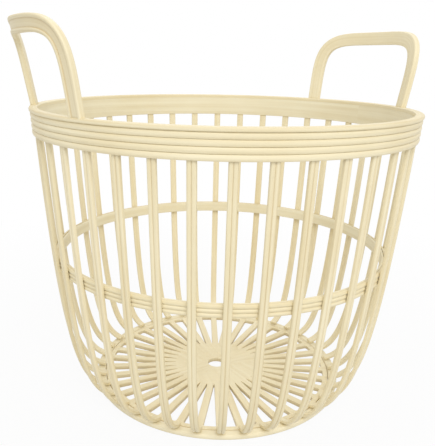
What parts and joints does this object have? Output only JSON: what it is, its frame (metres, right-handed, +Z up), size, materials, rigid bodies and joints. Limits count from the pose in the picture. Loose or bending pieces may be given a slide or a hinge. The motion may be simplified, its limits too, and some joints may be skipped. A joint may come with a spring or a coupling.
{
  "type": "storage basket",
  "caption": "Round open-topped cane storage basket with upright staves, a banded rim, a hoop at half height, a slotted base and two arched handles.",
  "frame": {"origin": "on the floor under the middle of the base", "axes": "+Z up along the basket's axis, +X through the middle of one handle, -X through the other"},
  "size_m": [0.342, 0.32, 0.313],
  "materials": {
    "cane": "pale peeled cane, smooth satin"
  },
  "bodies": {
    "root": {"stave_01": "cane", "stave_02": "cane", "stave_03": "cane", "stave_04": "cane", "stave_05": "cane", "stave_06": "cane", "stave_07": "cane", "stave_08": "cane", "stave_09": "cane", "stave_10": "cane", "stave_11": "cane", "stave_12": "cane", "stave_13": "cane", "stave_14": "cane", "stave_15": "cane", "stave_16": "cane", "stave_17": "cane", "stave_18": "cane", "stave_19": "cane", "stave_20": "cane", "stave_21": "cane", "stave_22": "cane", "stave_23": "cane", "stave_24": "cane", "stave_25": "cane", "stave_26": "cane", "stave_27": "cane", "stave_28": "cane", "stave_29": "cane", "stave_30": "cane", "stave_31": "cane", "stave_32": "cane", "stave_33": "cane", "stave_34": "cane", "stave_35": "cane", "stave_36": "cane", "stave_37": "cane", "stave_38": "cane", "rim_hoop_1": "cane", "rim_hoop_2": "cane", "rim_hoop_3": "cane", "rim_hoop_4": "cane", "rim_hoop_5": "cane", "rim_liner": "cane", "mid_cane_1": "cane", "mid_cane_2": "cane", "mid_cane_3": "cane", "mid_strip": "cane", "base_plate": "cane", "base_hoop": "cane", "handle_right": "cane", "handle_left": "cane"}
  },
  "joints": []
}
